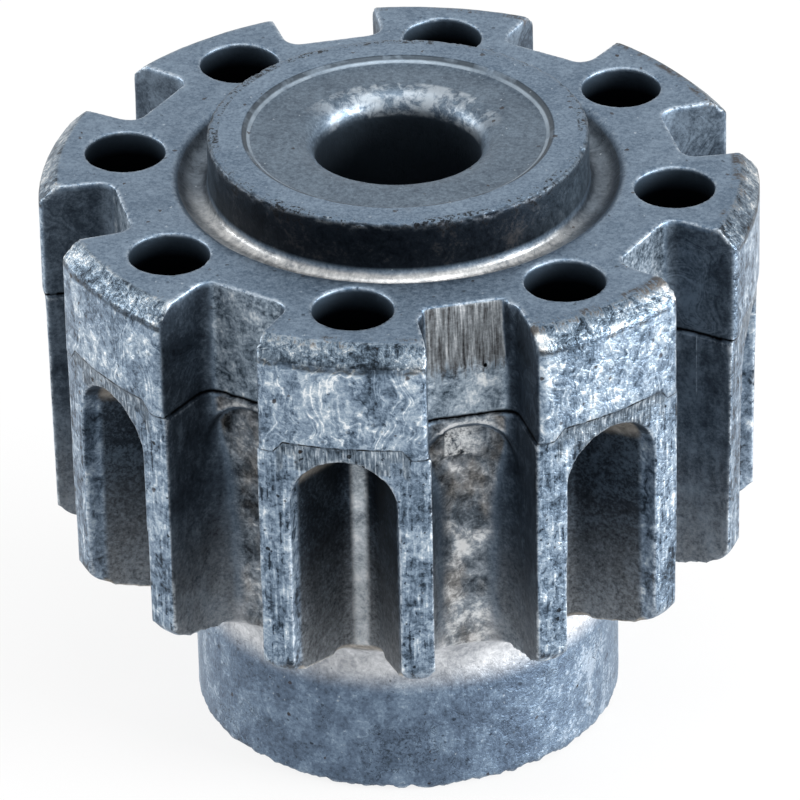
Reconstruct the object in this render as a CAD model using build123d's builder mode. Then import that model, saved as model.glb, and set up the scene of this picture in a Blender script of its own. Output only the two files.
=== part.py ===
"""Cast hub of a blower impeller: a one-piece die casting with eight hollow teeth round a bored hub.

The bore runs along Z, the hub's foot stands on z = 0 and one tooth points along -Y.
"""
import os
from math import asin, radians, sin, tan

from build123d import *

# Driving sizes, in millimetres and degrees
# Teeth, with the parting line between the upper and the lower die half
tooth_count = 8
tip_radius = 28.4
tip_round = 0.6
crown_height = 47.3
crown_chamfer_run = 1.5
crown_chamfer_drop = 1.45
seam_height = 37.55
seam_step = 0.2
seam_rise = 0.95
seam_jog_inset = 1.4
seam_jog_run = 0.8

# Gaps between the teeth, with an arched niche in the root of each lower half
gap_root_radius = 22.2
gap_root_width = 7.7
gap_mouth_width = 8.5
gap_corner_radius = 1.2
niche_top_drop = 0.8
niche_width = 7.4
niche_depth = 0.5
niche_draft = 3.0

# Root of one gap, pared back where the casting was trimmed
trim_depth = 0.55
trim_length = 6.0
trim_width = 6.6

# Arched scoops in the lower face of each tooth
scoop_mouth_width = 8.5
scoop_lip_width = 8.0
scoop_lip_depth = 1.8
scoop_depth = 7.5
scoop_floor_width = 2.4
scoop_top_drop = 0.45

# Skirt of the lower half, and the hub below it
skirt_height = 16.95
skirt_draft = 0.8
skirt_corner_bevel = 1.0
underside_angle = 11.6
hub_radius = 17.1
hub_neck_bevel = 1.9
foot_bevel = 0.3

# Boss, groove and dish on the top
boss_radius = 15.05
boss_rise = 3.5
boss_edge_bevel = 0.2
groove_width = 2.3
groove_depth = 1.5
groove_floor_bevel = 0.8
dish_radius = 12.05
dish_depth = 0.45
dish_floor_bevel = 0.35

# Bore, and the blind holes in the teeth
bore_radius = 6.5
bore_lead_bevel = 1.1
bore_foot_bevel = 0.6
hole_circle_radius = 21.85
hole_radius = 3.1
hole_depth = 8.6

# Stock outside the teeth, for the cuts to pass through
cut_margin = 2.0

# Sizes worked out from those above
pitch_angle = 360 / tooth_count
tooth_angle = -90
gap_angle = tooth_angle + pitch_angle / 2
blank_radius = tip_radius + cut_margin
seam_radius = tip_radius - seam_step
foot_radius = seam_radius - seam_height * tan(radians(skirt_draft))
skirt_radius = foot_radius + skirt_height * tan(radians(skirt_draft))
boss_top = crown_height + boss_rise
groove_floor = crown_height - groove_depth
dish_floor = boss_top - dish_depth
scoop_spring_height = seam_height - scoop_top_drop - scoop_mouth_width / 2
niche_top = seam_height - niche_top_drop
tooth_width = 2 * tip_radius * sin(radians(pitch_angle / 2) - asin(gap_mouth_width / 2 / tip_radius))
parting_plane = Plane.XY.offset(seam_height)


def underside_z(radius):
    """Height of the conical underside, which falls towards the hub."""
    return skirt_height - (skirt_radius - radius) * tan(radians(underside_angle))


def crown_z(radius):
    """Height of the chamfer round the crown, carried on outside the teeth."""
    return crown_height - (radius - tip_radius + crown_chamfer_run) * crown_chamfer_drop / crown_chamfer_run


def gap_half_width(radius):
    """Half the width of a gap, which opens evenly from its root to the tooth tips."""
    flare = (gap_mouth_width - gap_root_width) / (tip_radius - gap_root_radius)
    return (gap_root_width + flare * (radius - gap_root_radius)) / 2


def tooth_plan(gap_inset):
    """Outline of all the teeth, with the gaps between them narrowed all round by an inset."""
    root_radius = gap_root_radius + gap_inset
    root_half = gap_half_width(root_radius) - gap_inset
    mouth_half = gap_half_width(blank_radius) - gap_inset
    with BuildSketch() as plan:
        with PolarLocations(0, 1, start_angle=gap_angle):
            Circle(tip_radius)
        with PolarLocations(0, tooth_count, start_angle=gap_angle):
            Polygon(
                (root_radius, -root_half),
                (blank_radius, -mouth_half),
                (blank_radius, mouth_half),
                (root_radius, root_half),
                align=None,
                mode=Mode.SUBTRACT,
            )
        fillet(plan.vertices().group_by(SortBy.DISTANCE)[-1], tip_round)
        fillet(plan.vertices().group_by(SortBy.DISTANCE)[0], gap_corner_radius)
    return plan.sketch


# Teeth of the lower die half, which taper downwards
with BuildPart() as skirt_form:
    with BuildSketch():
        add(tooth_plan(seam_step))
    extrude(amount=seam_height)
    Cone(
        foot_radius,
        seam_radius,
        seam_height,
        align=(Align.CENTER, Align.CENTER, Align.MIN),
        mode=Mode.INTERSECT,
    )

# Scoop: a straight run, open below, with a domed top of the same width
with BuildPart() as scoop:
    with BuildSketch(Plane.XY.offset(scoop_spring_height)) as scoop_half:
        Polygon(
            (tip_radius - scoop_depth, 0),
            (blank_radius, 0),
            (blank_radius, scoop_mouth_width / 2),
            (tip_radius, scoop_mouth_width / 2),
            (tip_radius - scoop_lip_depth, scoop_lip_width / 2),
            (tip_radius - scoop_depth, scoop_floor_width / 2),
            align=None,
        )
    revolve(axis=Axis((0, 0, scoop_spring_height), (1, 0, 0)), revolution_arc=180)
    with BuildSketch(Plane.XY.offset(scoop_spring_height)):
        add(scoop_half.sketch_local)
        mirror(about=Plane.XZ)
    extrude(amount=-scoop_spring_height)

# Niche: an arch on a floor that leans inwards towards the bottom
with BuildPart() as niche:
    niche_plane = Plane(
        origin=(gap_root_radius + seam_step - niche_depth, 0, niche_top),
        x_dir=(0, 1, 0),
        z_dir=(1, 0, -tan(radians(niche_draft))),
    )
    with BuildSketch(niche_plane):
        with Locations((0, -niche_width / 2)):
            Circle(niche_width / 2)
            Rectangle(niche_width, seam_height, align=(Align.CENTER, Align.MAX))
    extrude(amount=gap_corner_radius + niche_depth + cut_margin)

# Raised middle of the parting line on a tooth face, as deep as the step between the die halves
with BuildPart() as seam_jog:
    jog_half = tooth_width / 2 - seam_jog_inset
    with BuildSketch(Plane.YZ.offset(hub_radius)):
        Polygon(
            (-jog_half, seam_height - seam_step),
            (jog_half, seam_height - seam_step),
            (jog_half, seam_height),
            (jog_half - seam_jog_run, seam_height + seam_rise),
            (seam_jog_run - jog_half, seam_height + seam_rise),
            (-jog_half, seam_height),
            align=None,
        )
    extrude(amount=blank_radius - hub_radius)
    Cylinder(seam_radius, 2 * boss_top, mode=Mode.SUBTRACT)

# Trimmed flat, leaning back from the gap's root towards the top
with BuildPart() as trim_flat:
    with BuildSketch(Plane.XZ):
        Polygon(
            (gap_root_radius, crown_height - trim_length),
            (blank_radius, crown_height - trim_length),
            (blank_radius, crown_height),
            (gap_root_radius - trim_depth, crown_height),
            align=None,
        )
    extrude(amount=trim_width / 2, both=True)

with BuildPart() as impeller_hub:
    # Toothed form, with the upper die half on the lower one
    with BuildSketch(parting_plane):
        add(tooth_plan(0))
    extrude(amount=boss_top - seam_height)
    add(skirt_form.part)

    # Turned form: hub, underside, crown, groove, boss, dish and bore in one section
    with BuildSketch(Plane.XZ) as section:
        foot_corner = (hub_radius, 0)
        hub_corner = (hub_radius, underside_z(hub_radius))
        skirt_corner = (skirt_radius - skirt_corner_bevel, underside_z(skirt_radius - skirt_corner_bevel))
        groove_outer_corner = (boss_radius + groove_width, groove_floor)
        boss_corner = (boss_radius, boss_top)
        dish_corner = (dish_radius, dish_floor)
        bore_corner = (bore_radius, dish_floor)
        Polygon(
            (bore_radius + bore_foot_bevel, 0),
            foot_corner,
            hub_corner,
            skirt_corner,
            (blank_radius, skirt_corner[1] + blank_radius - skirt_corner[0]),
            (blank_radius, crown_z(blank_radius)),
            (tip_radius - crown_chamfer_run, crown_height),
            (boss_radius + groove_width, crown_height),
            groove_outer_corner,
            (boss_radius, groove_floor),
            boss_corner,
            (dish_radius, boss_top),
            dish_corner,
            bore_corner,
            (bore_radius, bore_foot_bevel),
            align=None,
        )
        bevels = {
            foot_corner: foot_bevel,
            hub_corner: hub_neck_bevel,
            groove_outer_corner: groove_floor_bevel,
            boss_corner: boss_edge_bevel,
            dish_corner: dish_floor_bevel,
            bore_corner: bore_lead_bevel,
        }
        for corner, length in bevels.items():
            chamfer(section.vertices().sort_by_distance(corner)[0], length)
    revolve(axis=Axis.Z, mode=Mode.INTERSECT)

    # Cuts that repeat with the teeth and the gaps
    with PolarLocations(0, tooth_count, start_angle=tooth_angle):
        add(seam_jog.part, mode=Mode.SUBTRACT)
        add(scoop.part, mode=Mode.SUBTRACT)
    with PolarLocations(0, tooth_count, start_angle=gap_angle):
        add(niche.part, mode=Mode.SUBTRACT)
    with PolarLocations(0, 1, start_angle=gap_angle):
        add(trim_flat.part, mode=Mode.SUBTRACT)
    with Locations(Plane.XY.offset(crown_height)):
        with PolarLocations(hole_circle_radius, tooth_count, start_angle=tooth_angle):
            Hole(hole_radius, hole_depth)

impeller_hub.part.label = "impeller_hub"
os.makedirs("parts", exist_ok=True)
export_step(impeller_hub.part, "parts/impeller_hub.step")
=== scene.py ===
"""Blower impeller hub: a zinc die casting with eight hollow teeth, on a pale studio floor."""
from math import cos, pi, radians, sin, tan
from types import SimpleNamespace

import bmesh
import bpy
from mathutils import Matrix, Vector


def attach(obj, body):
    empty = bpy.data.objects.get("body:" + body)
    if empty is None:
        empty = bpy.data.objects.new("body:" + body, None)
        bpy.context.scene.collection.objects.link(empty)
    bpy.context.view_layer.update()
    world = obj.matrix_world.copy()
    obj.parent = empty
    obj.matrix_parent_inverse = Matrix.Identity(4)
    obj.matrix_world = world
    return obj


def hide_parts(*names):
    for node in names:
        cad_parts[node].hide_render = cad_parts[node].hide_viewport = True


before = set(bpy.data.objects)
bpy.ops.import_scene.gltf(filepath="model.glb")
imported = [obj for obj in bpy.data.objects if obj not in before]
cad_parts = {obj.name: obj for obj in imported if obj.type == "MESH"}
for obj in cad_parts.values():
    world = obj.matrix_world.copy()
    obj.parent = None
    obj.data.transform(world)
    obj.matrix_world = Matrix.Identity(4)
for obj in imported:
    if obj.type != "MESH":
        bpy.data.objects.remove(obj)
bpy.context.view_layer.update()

# Sizes of the casting in millimetres, for the skin's patterns to follow
MM = 0.001
TOOTH_COUNT = 8
TOOTH_ANGLE = radians(-90)
PITCH = 2 * pi / TOOTH_COUNT
TIP_RADIUS = 28.4
GAP_ROOT_RADIUS = 22.2
CROWN_HEIGHT = 47.3
SEAM_HEIGHT = 37.55
SEAM_RISE = 0.95
SEAM_JOG_HALF = 5.42
SEAM_JOG_RUN = 0.8
NICHE_HALF = 3.7
NICHE_TOP = SEAM_HEIGHT - 0.8
NICHE_SPRING = NICHE_TOP - NICHE_HALF
NICHE_FLOOR = GAP_ROOT_RADIUS - 0.3
NICHE_DRAFT = radians(3.0)
BOSS_RADIUS = 15.05
BOSS_TOP = 50.8
HUB_RADIUS = 17.1
GROOVE_RADIUS = 17.35
DISH_RADIUS = 12.05
HOLE_CIRCLE = 21.85
HOLE_RADIUS = 3.1
BORE_RADIUS = 6.5
TRIM_ANGLE = TOOTH_ANGLE + PITCH / 2

# Limits of the zones in millimetres: one never reached, one below the teeth, one under the chamfers
FAR = 60.0
TEETH_BOTTOM = 10.0
FACE_TOP = 46.6

# Limits of the scoops, the bore and the holes, and the pit's place across and up the trimmed root
SCOOP_HALF = 4.45
SCOOP_LIP_HALF = 4.6
SCOOP_INNER = 18.0
BORE_TOP = 48.2
HOLE_BOTTOM = 38.4
PIT_PLACE = (1.5, 41.8, 0)

# Clouds of the skin: size in millimetres, detail, roughness and distortion
CLOUDS = {
    "cloud": (4.5, 2.0, 0.5, 0.9),
    "flow": (2.3, 3.0, 0.55, 0.0),
    "mottle": (0.95, 4.0, 0.72, 0.6),
    "grain": (0.3, 2.0, 0.75, 0.0),
}
FLOW_STRETCH = (1, 1, 0.6)

# Strokes on the faces: width and length in millimetres, and roughness; each tooth has its own
STROKES = {"marks": (0.32, 3.2, 0.55), "hatch": (0.17, 1.5, 0.6)}
MARK_BEND = 6.0
TOOTH_SHIFT = 17.0
SCRAPE_WIDTH = 0.34
SCRAPE_LENGTH = 5.0

# Specks: cells of two sizes, and the depth of the relief that the light shows, in millimetres
LARGE_CELL = 0.95
SMALL_CELL = 0.5
RELIEF_DEPTH = 0.07

# Ranges of the mixed patterns that the tones are spread over, and the colour of the dust
OXIDE_RANGE = (0.84, 1.36)
ROOT_RANGE = (0.76, 1.3)
NICHE_RANGE = (0.98, 1.5)
DUST = "#81868b"

# Remeshed skin, in millimetres
VOXEL = 0.2
TRIANGLE_BUDGET = 190_000

# Well rounded corners: lowest and highest, innermost and outermost, in millimetres
ROUNDED_CORNERS = [
    (9.5, 16.0, 16.5, 22.0),
    (45.0, 47.0, 14.0, 17.6),
    (48.0, 50.6, 6.0, 8.4),
    (12.0, 17.6, 26.4, 29.0),
    (13.0, 36.8, 19.5, 21.4),
]

# Camera, as fitted to the photograph: metres, degrees, and pixels of an 800 pixel frame
CAMERA_TARGET = Vector((0, 0, 0.0293))
CAMERA_DISTANCE = 0.6972
CAMERA_AZIMUTH = radians(9.82)
CAMERA_ELEVATION = radians(30.717)
CAMERA_ROLL = radians(1.145)
CAMERA_LENS = 394.4
FRAME_PIXELS = 800
TARGET_OFFSET = Vector((2.555, 34.578))


def linear(hex_colour):
    """Linear RGBA of an sRGB hex colour."""
    channels = [int(hex_colour[i:i + 2], 16) / 255 for i in (1, 3, 5)]
    return [c / 12.92 if c <= 0.04045 else ((c + 0.055) / 1.055) ** 2.4 for c in channels] + [1]


def add(tree, kind, inputs=(), **settings):
    """Add a node with settings; an input is a value, a socket, or a node, which gives its first output."""
    node = tree.nodes.new(kind)
    for name, value in settings.items():
        setattr(node, name, value)
    for key, value in dict(inputs).items():
        if isinstance(value, bpy.types.Node):
            value = next(socket for socket in value.outputs if socket.enabled)
        if isinstance(value, bpy.types.NodeSocket):
            tree.links.new(value, node.inputs[key])
        else:
            node.inputs[key].default_value = value
    return node


def new_material(name):
    """An empty node material and its tree."""
    material = bpy.data.materials.new(name)
    material.use_nodes = True
    material.node_tree.nodes.clear()
    return material, material.node_tree


def band(tree, value, low, high, soft):
    """1 where a value lies between two limits, with soft borders outside them."""
    up = add(tree, "ShaderNodeMapRange", {
        "Value": value, "From Min": low - soft, "From Max": low}, interpolation_type="SMOOTHSTEP")
    down = add(tree, "ShaderNodeMapRange", {
        "Value": value, "From Min": high, "From Max": high + soft, "To Min": 1.0, "To Max": 0.0},
        interpolation_type="SMOOTHSTEP")
    return add(tree, "ShaderNodeMath", {0: up, 1: down}, operation="MULTIPLY")


def product(tree, first, *others):
    """All of several values multiplied."""
    for other in others:
        first = add(tree, "ShaderNodeMath", {0: first, 1: other}, operation="MULTIPLY")
    return first


def new_geometry_tree(name, sizes):
    """A geometry tree with a mesh input, named number inputs, and its group nodes."""
    tree = bpy.data.node_groups.new(name, "GeometryNodeTree")
    tree.interface.new_socket("Geometry", in_out="INPUT", socket_type="NodeSocketGeometry")
    for label, value in sizes.items():
        socket = tree.interface.new_socket(label, in_out="INPUT", socket_type="NodeSocketFloat")
        socket.default_value = value
    tree.interface.new_socket("Geometry", in_out="OUTPUT", socket_type="NodeSocketGeometry")
    return tree, add(tree, "NodeGroupInput").outputs


def finish_geometry_tree(tree, geometry, material):
    """End a geometry tree with its instances realised and its material set."""
    real = add(tree, "GeometryNodeRealizeInstances", {"Geometry": geometry})
    dressed = add(tree, "GeometryNodeSetMaterial", {"Geometry": real, "Material": material})
    add(tree, "NodeGroupOutput", {"Geometry": dressed})


def filled_gap_corners(tree, place, low_round, high_round):
    """Shift in millimetres that rounds each gap's corners below the parting line into a trough."""
    axes = add(tree, "ShaderNodeSeparateXYZ", {0: place}).outputs
    flat = add(tree, "ShaderNodeVectorMath", {0: place, 1: (1, 1, 0)}, operation="MULTIPLY")
    radius = add(tree, "ShaderNodeVectorMath", {0: flat}, operation="LENGTH").outputs["Value"]
    angle = add(tree, "ShaderNodeMath", {0: axes["Y"], 1: axes["X"]}, operation="ARCTAN2")
    turned = add(tree, "ShaderNodeMath", {0: angle, 1: TRIM_ANGLE}, operation="SUBTRACT")
    gap = add(tree, "ShaderNodeMath", {
        0: add(tree, "ShaderNodeMath", {0: turned, 1: PITCH}, operation="DIVIDE")}, operation="ROUND")
    off_gap = add(tree, "ShaderNodeMath", {0: gap, 1: -PITCH, 2: turned}, operation="MULTIPLY_ADD")
    gap_angle = add(tree, "ShaderNodeMath", {0: gap, 1: PITCH, 2: TRIM_ANGLE}, operation="MULTIPLY_ADD")
    across = product(tree, radius, add(tree, "ShaderNodeMath", {0: off_gap}, operation="SINE"))
    out = product(tree, radius, add(tree, "ShaderNodeMath", {0: off_gap}, operation="COSINE"))
    half = add(tree, "ShaderNodeMath", {0: across}, operation="ABSOLUTE")
    side = add(tree, "ShaderNodeMath", {0: across}, operation="SIGN")

    # Corner circle at this height, touching the wall and the leaning floor
    lean = tan(NICHE_DRAFT)
    floor = add(tree, "ShaderNodeMath", {
        0: axes["Z"], 1: lean, 2: NICHE_FLOOR - NICHE_TOP * lean}, operation="MULTIPLY_ADD")
    corner = add(tree, "ShaderNodeMapRange", {
        "Value": axes["Z"], "From Min": NICHE_TOP - 1.5, "From Max": NICHE_SPRING - 4.0,
        "To Min": high_round, "To Max": low_round}, interpolation_type="SMOOTHSTEP")
    centre_half = add(tree, "ShaderNodeMath", {0: NICHE_HALF, 1: corner}, operation="SUBTRACT")
    centre_out = add(tree, "ShaderNodeMath", {0: floor, 1: corner}, operation="ADD")
    past = add(tree, "ShaderNodeMath", {0: half, 1: centre_half}, operation="SUBTRACT")
    below = add(tree, "ShaderNodeMath", {0: centre_out, 1: out}, operation="SUBTRACT")
    reach = add(tree, "ShaderNodeVectorMath", {
        0: add(tree, "ShaderNodeCombineXYZ", {0: past, 1: below})}, operation="LENGTH").outputs["Value"]
    over = add(tree, "ShaderNodeMath", {0: reach, 1: corner}, operation="SUBTRACT")
    excess = add(tree, "ShaderNodeMath", {0: over, 1: 0.0}, operation="MAXIMUM")
    in_corner = product(
        tree, add(tree, "ShaderNodeMath", {0: past, 1: 0.0}, operation="GREATER_THAN"),
        add(tree, "ShaderNodeMath", {0: below, 1: 0.0}, operation="GREATER_THAN"),
        add(tree, "ShaderNodeMath", {0: half, 1: NICHE_HALF + 0.45}, operation="LESS_THAN"),
        add(tree, "ShaderNodeMath", {
            0: add(tree, "ShaderNodeMath", {0: out, 1: floor}, operation="SUBTRACT"), 1: -0.45},
            operation="GREATER_THAN"),
        band(tree, axes["Z"], 12.0, NICHE_TOP - 1.0, 0.5))
    pull = add(tree, "ShaderNodeMath", {0: product(tree, excess, in_corner), 1: reach}, operation="DIVIDE")
    shift = add(tree, "ShaderNodeCombineXYZ", {
        0: product(tree, pull, below), 1: product(tree, pull, past, side, -1.0)})
    return add(tree, "ShaderNodeVectorRotate", {"Vector": shift, "Axis": (0, 0, 1), "Angle": gap_angle})


def cast_skin_tree(material):
    """Skin of a die casting: rounded corners, slow waves, a ragged foot, and chips out of the boss's rim."""
    tree, size = new_geometry_tree("cast_skin", {
        "Edge Rounds": 2, "Corner Rounds": 26, "Edge Reach": 8,
        "Wave Size": 3.5, "Wave Depth": 0.07, "Dent Size": 1.3, "Dent Depth": 0.05,
        "Foot Chip Size": 1.1, "Foot Chip Depth": 0.5, "Foot Chip Height": 1.3,
        "Rim Chip Size": 0.6, "Rim Chip Depth": 0.3, "Rim Chip Reach": 0.5,
        "Seam Width": 0.32, "Seam Depth": 0.16, "Trough Low Round": 3.1, "Trough High Round": 0.9,
        "Seed": 7.0})
    raw = add(tree, "GeometryNodeInputPosition")
    place = add(tree, "ShaderNodeVectorMath", {0: raw, "Scale": 1 / MM}, operation="SCALE")
    height = add(tree, "ShaderNodeSeparateXYZ", {0: place}).outputs["Z"]
    flat = add(tree, "ShaderNodeVectorMath", {0: place, 1: (1, 1, 0)}, operation="MULTIPLY")
    radius = add(tree, "ShaderNodeVectorMath", {0: flat}, operation="LENGTH").outputs["Value"]

    # Corners that the die rounds well: hub neck, groove, bore lead-in and the lower ends of the fins
    corners = 0.0
    for low, high, inner, outer in ROUNDED_CORNERS:
        corner = product(tree, band(tree, height, low, high, 0.4), band(tree, radius, inner, outer, 0.4))
        corners = add(tree, "ShaderNodeMath", {0: corners, 1: corner}, operation="MAXIMUM")
    fill = add(tree, "ShaderNodeVectorMath", {
        0: filled_gap_corners(tree, place, size["Trough Low Round"], size["Trough High Round"]), "Scale": MM},
        operation="SCALE")
    filled = add(tree, "ShaderNodeVectorMath", {0: raw, 1: fill}, operation="ADD")
    edges_blurred = add(tree, "GeometryNodeBlurAttribute", {
        "Value": filled, "Iterations": size["Edge Rounds"], "Weight": 1.0}, data_type="FLOAT_VECTOR")
    corners_blurred = add(tree, "GeometryNodeBlurAttribute", {
        "Value": edges_blurred, "Iterations": size["Corner Rounds"], "Weight": corners},
        data_type="FLOAT_VECTOR")
    rounded = add(tree, "GeometryNodeSetPosition", {
        "Geometry": size["Geometry"], "Position": corners_blurred})

    # Waves of the flowing metal and shallow dents of handling
    dents = 0.0
    for label in ("Wave", "Dent"):
        scale = add(tree, "ShaderNodeMath", {0: 1.0, 1: size[label + " Size"]}, operation="DIVIDE")
        noise = add(tree, "ShaderNodeTexNoise", {
            "Vector": place, "W": size["Seed"], "Scale": scale, "Detail": 2.0}, noise_dimensions="4D")
        dents = add(tree, "ShaderNodeMath", {0: noise.outputs[0], 1: size[label + " Depth"], 2: dents},
                    operation="MULTIPLY_ADD")

    # Chips along the boss's rim
    rim_out = add(tree, "ShaderNodeMath", {0: radius, 1: BOSS_RADIUS}, operation="SUBTRACT")
    rim_up = add(tree, "ShaderNodeMath", {0: height, 1: BOSS_TOP}, operation="SUBTRACT")
    rim_offset = add(tree, "ShaderNodeCombineXYZ", {0: rim_out, 1: rim_up})
    rim_distance = add(tree, "ShaderNodeVectorMath", {0: rim_offset}, operation="LENGTH").outputs["Value"]
    at_rim = add(tree, "ShaderNodeMapRange", {
        "Value": rim_distance, "From Min": size["Rim Chip Reach"], "From Max": 0.0})
    rim_scale = add(tree, "ShaderNodeMath", {0: 1.0, 1: size["Rim Chip Size"]}, operation="DIVIDE")
    rim_noise = add(tree, "ShaderNodeTexNoise", {
        "Vector": place, "W": size["Seed"], "Scale": rim_scale, "Detail": 3.0}, noise_dimensions="4D")
    rim_chip = add(tree, "ShaderNodeMapRange", {
        "Value": rim_noise.outputs[0], "From Min": 0.48, "From Max": 0.68}, interpolation_type="SMOOTHSTEP")
    rim_depth = product(tree, rim_chip, at_rim, size["Rim Chip Depth"])

    # Groove of the parting line in the gaps
    seam_off = add(tree, "ShaderNodeMath", {0: height, 1: SEAM_HEIGHT}, operation="SUBTRACT")
    seam_gap = add(tree, "ShaderNodeMath", {0: seam_off}, operation="ABSOLUTE")
    at_seam = add(tree, "ShaderNodeMapRange", {
        "Value": seam_gap, "From Min": size["Seam Width"], "From Max": 0.0}, interpolation_type="SMOOTHSTEP")
    in_gap = band(tree, radius, GAP_ROOT_RADIUS - 1.5, TIP_RADIUS - 0.6, 0.3)
    seam_depth = product(tree, at_seam, in_gap, size["Seam Depth"])

    depth = add(tree, "ShaderNodeMath", {0: dents, 1: rim_depth}, operation="ADD")
    depth = add(tree, "ShaderNodeMath", {0: depth, 1: seam_depth}, operation="ADD")
    inwards = add(tree, "ShaderNodeMath", {0: depth, 1: -MM}, operation="MULTIPLY")
    offset = add(tree, "ShaderNodeVectorMath", {0: add(tree, "GeometryNodeInputNormal"), "Scale": inwards},
                 operation="SCALE")

    # Ragged edge of the foot, where the metal broke from its gate
    foot_scale = add(tree, "ShaderNodeMath", {0: 1.0, 1: size["Foot Chip Size"]}, operation="DIVIDE")
    foot_noise = add(tree, "ShaderNodeTexNoise", {
        "Vector": flat, "W": size["Seed"], "Scale": foot_scale, "Detail": 3.0}, noise_dimensions="4D")
    foot_chip = add(tree, "ShaderNodeMapRange", {
        "Value": foot_noise.outputs[0], "From Min": 0.38, "From Max": 0.7})
    at_foot = add(tree, "ShaderNodeMapRange", {
        "Value": height, "From Min": size["Foot Chip Height"], "From Max": 0.0})
    at_edge = band(tree, radius, HUB_RADIUS - 1.0, HUB_RADIUS + 1, 0.6)
    foot_lift = product(tree, at_foot, at_edge, foot_chip, size["Foot Chip Depth"], MM)
    lift = add(tree, "ShaderNodeCombineXYZ", {2: foot_lift})

    move = add(tree, "ShaderNodeVectorMath", {0: offset, 1: lift}, operation="ADD")
    moved = add(tree, "GeometryNodeSetPosition", {"Geometry": rounded, "Offset": move})

    # How far the skin stands proud of its smoothed self, in millimetres: edges above 0, inner corners below
    smoothed = add(tree, "GeometryNodeBlurAttribute", {
        "Value": raw, "Iterations": size["Edge Reach"], "Weight": 1.0}, data_type="FLOAT_VECTOR")
    proud = add(tree, "ShaderNodeVectorMath", {0: raw, 1: smoothed}, operation="SUBTRACT")
    proud_out = add(tree, "ShaderNodeVectorMath", {0: proud, 1: add(tree, "GeometryNodeInputNormal")},
                    operation="DOT_PRODUCT").outputs["Value"]
    edge = add(tree, "ShaderNodeMath", {0: proud_out, 1: 1 / MM}, operation="MULTIPLY")
    stored = add(tree, "GeometryNodeStoreNamedAttribute", {
        "Geometry": moved, "Name": "edge", "Value": edge}, data_type="FLOAT", domain="POINT")
    finish_geometry_tree(tree, stored, material)
    return tree


def casting_copy(node):
    """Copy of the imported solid's mesh with its loose triangles merged."""
    mesh = node.data.copy()
    work = bmesh.new()
    work.from_mesh(mesh)
    bmesh.ops.remove_doubles(work, verts=work.verts, dist=0.001 * MM)
    work.to_mesh(mesh)
    work.free()
    piece = bpy.data.objects.new("impeller_hub_casting", mesh)
    bpy.context.collection.objects.link(piece)
    return piece


def bake_modifiers(piece):
    """Put the evaluated shape into the piece's own mesh and drop its modifiers."""
    depsgraph = bpy.context.evaluated_depsgraph_get()
    mesh = bpy.data.meshes.new_from_object(piece.evaluated_get(depsgraph))
    piece.modifiers.clear()
    piece.data = mesh


def triangle_count(mesh):
    """Triangles in a mesh of any faces."""
    return sum(len(face.vertices) - 2 for face in mesh.polygons)


def cast_body(node, material):
    """The casting: the solid's form remeshed, softened at its edges, roughened and thinned out again."""
    casting = casting_copy(node)
    remesh = casting.modifiers.new("even_skin", "REMESH")
    remesh.mode = "VOXEL"
    remesh.voxel_size = VOXEL * MM
    casting.modifiers.new("cast_skin", "NODES").node_group = cast_skin_tree(material)
    bake_modifiers(casting)
    thin = casting.modifiers.new("thin_out", "DECIMATE")
    thin.ratio = TRIANGLE_BUDGET / triangle_count(casting.data)
    bake_modifiers(casting)
    casting.data.shade_smooth()
    return casting


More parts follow.
